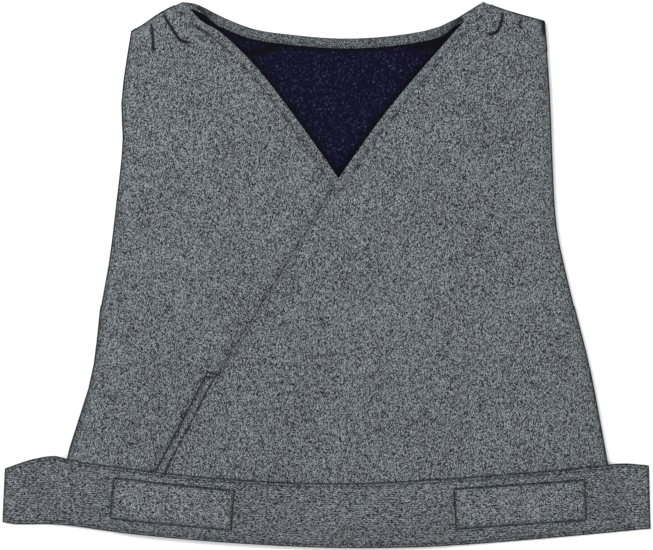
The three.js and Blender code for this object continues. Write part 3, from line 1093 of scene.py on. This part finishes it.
def hook_pad():
    loop = rounded(top_loop("belt_hook_pad"), 3.0)
    flat = flat_mesh(loop, 3.0)
    inward = depth(flat[0], loop)
    obj = slab("belt_hook_pad_tape", flat, 0.08 + inward * 0, 0.7 + 0.55 * smooth(inward / 2), HOOKS)
    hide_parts("belt_hook_pad")
    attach(obj, "belt_end")
    return obj


pad = hook_pad()


# -------- patches on the belt

def fuzz(xy):
    """The unevenness of pressed loop pile, about a millimetre and a half across."""
    x, y = xy[:, 0], xy[:, 1]
    return (np.sin(x * 2.7 + np.sin(y * 1.9) * 1.8) + np.sin(y * 3.1 + np.sin(x * 2.3) * 1.6)
            + np.sin((x + y) * 1.3) + np.sin((x - y) * 0.9 + 1)) / 4


PATCH_SEAM = 2.0


def patch_high(xy, loop):
    inward = depth(xy, loop)
    crown = 1.25 * smooth(inward / 1.2) + 0.3 * smooth(inward / 12)
    groove = 0.45 * np.exp(-((inward - PATCH_SEAM) / 0.8) ** 2)
    return belt_high(xy) + 0.1 + crown - groove + 0.12 * fuzz(xy) * smooth(inward / 2)


def make_patch(node):
    loop = rounded(top_loop(node), 2.5)
    rims = np.concatenate([even(grown(loop, -d), 1.6, True) for d in (0.7, 1.4, 2.0, 2.7)])
    flat = flat_mesh(loop, 2.0, rims)
    inward = depth(flat[0], loop)
    # Painted shade along the patch's seam groove and around its rim.
    shade = np.maximum(0.6 * np.exp(-((inward - PATCH_SEAM) / 0.8) ** 2), 1 - smooth((inward - 0.9) / 1.3))
    obj = slab(node + "_pile", flat, belt_high(flat[0]) + 0.08, patch_high(flat[0], loop), PILE, shade)
    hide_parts(node)
    LEFT_FOLD.blend(obj)
    return obj, loop


patches = [make_patch(node) for node in ("right_loop_patch", "left_loop_patch")]


# -------- stitches

def panel_top(side, drop=0.0):
    def height(xy):
        at = Place(xy)
        return PANELS[side].high(at) - drop + pleat_shape(at.xy, side)[0]
    return height


def inner_line(panel, line, offset):
    """A line that follows an edge, a distance in from its tape's inner edge."""
    return line + leftward(line) * (panel.band(line) + offset)[:, None]


for side, fold in PANEL_FOLDS.items():
    panel = PANELS[side]
    neck = even(panel.neck, 2.5)[4:-6]
    row = stitches(f"{side}_neck_stitches", [(inner_line(panel, neck, SEAM_LINE), panel_top(side, 0.35))],
                   length=3.4, gap=2.2, thick=0.55)
    fold.blend(row)

closure_border = even(np.concatenate([CLOSURE_SEAM, CLOSURE_SEAM[:1]]), 2.0)
closure_stitches = stitches("closure_stitches", [(closure_border, panel_top("left", 0.3))],
                            length=4.8, gap=2.2, thick=0.8, lift=0.2)
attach(closure_stitches, "left_front")

for name, (first, last), fold in (("belt_edge_stitches", (BELT_SPLICE + 4, 371), LEFT_FOLD),
                                  ("belt_end_stitches", (-366, BELT_SPLICE - 4), BELT_FOLD)):
    rows = []
    for edge, inner in ((BELT_TOP_EDGE, -1), (BELT_BOTTOM_EDGE, 1)):
        line = even(edge, 2.5) + np.array([0, inner * BELT_SEAM])
        rows.append((line[(line[:, 0] > first) & (line[:, 0] < last)], belt_high))
    row = stitches(name, rows, length=4.4, gap=2.4, thick=0.65)
    fold.blend(row)

for (patch, loop), name in zip(patches, ("right_patch_stitches", "left_patch_stitches")):
    border = grown(loop, -PATCH_SEAM)
    closed_border = even(np.concatenate([border, border[:1]]), 2.0)
    row = stitches(name, [(closed_border, lambda xy, loop=loop: patch_high(xy, loop))], length=2.6, gap=1.2)
    LEFT_FOLD.blend(row)

trim_seam = trim_line + leftward(trim_line) * (trim_width - 2.2)[:, None]
trim_stitches = stitches("neck_trim_stitches", [(trim_seam, lambda xy: back_high(Place(xy)) + TRIM_TOP)],
                         thick=0.4)
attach(trim_stitches, "back")


# -------- the panels' pieces, looped over without change

for piece, loop in back:
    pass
for side, (made, tape) in fronts.items():
    for piece, loop in made:
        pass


# -------- floor, light and camera

FLOOR_TONE = 0.93
FLOOR_HALF = 3.0
FLOOR_Z = -0.0004
SKY_STRENGTH = 0.72
VIEW_HEIGHT = 0.008


def pale_floor():
    n = Nodes("pale_floor_paint", 0.7, Specular_IOR_Level=0.2)
    n.shader.inputs["Base Color"].default_value = (FLOOR_TONE, FLOOR_TONE, FLOOR_TONE, 1)
    mesh = bpy.data.meshes.new("pale_floor")
    corners = [(x * FLOOR_HALF, y * FLOOR_HALF, FLOOR_Z) for x, y in ((-1, -1), (1, -1), (1, 1), (-1, 1))]
    mesh.from_pydata(corners, [], [(0, 1, 2, 3)])
    mesh.materials.append(n.material)
    obj = bpy.data.objects.new("pale_floor", mesh)
    bpy.context.scene.collection.objects.link(obj)


def area_light(name, place, size, power):
    data = bpy.data.lights.new(name, "AREA")
    data.shape, data.size, data.energy = "SQUARE", size, power
    obj = bpy.data.objects.new(name, data)
    obj.location = place
    obj.rotation_mode = "QUATERNION"
    obj.rotation_quaternion = (-Vector(place)).to_track_quat("-Z", "Y")
    bpy.context.scene.collection.objects.link(obj)


def camera():
    """Straight above, with the view 0.751 m wide at the vest."""
    width, lens, sensor = 0.751, 100.0, 36.0
    data = bpy.data.cameras.new("camera")
    data.lens, data.sensor_width = lens, sensor
    obj = bpy.data.objects.new("camera", data)
    obj.location = (0, 0, VIEW_HEIGHT + width * lens / sensor)
    bpy.context.scene.collection.objects.link(obj)
    bpy.context.scene.camera = obj


pale_floor()
area_light("key_light", (-0.95, 1.15, 1.85), 1.1, 45)
area_light("fill_light", (1.6, -0.9, 1.8), 2.0, 18)
world = bpy.data.worlds.new("soft_studio")
world.use_nodes = True
world.node_tree.nodes["Background"].inputs["Color"].default_value = (1, 1, 1, 1)
world.node_tree.nodes["Background"].inputs["Strength"].default_value = SKY_STRENGTH
bpy.context.scene.world = world
bpy.context.scene.view_settings.view_transform = "Standard"
camera()

bpy.context.view_layer.update()
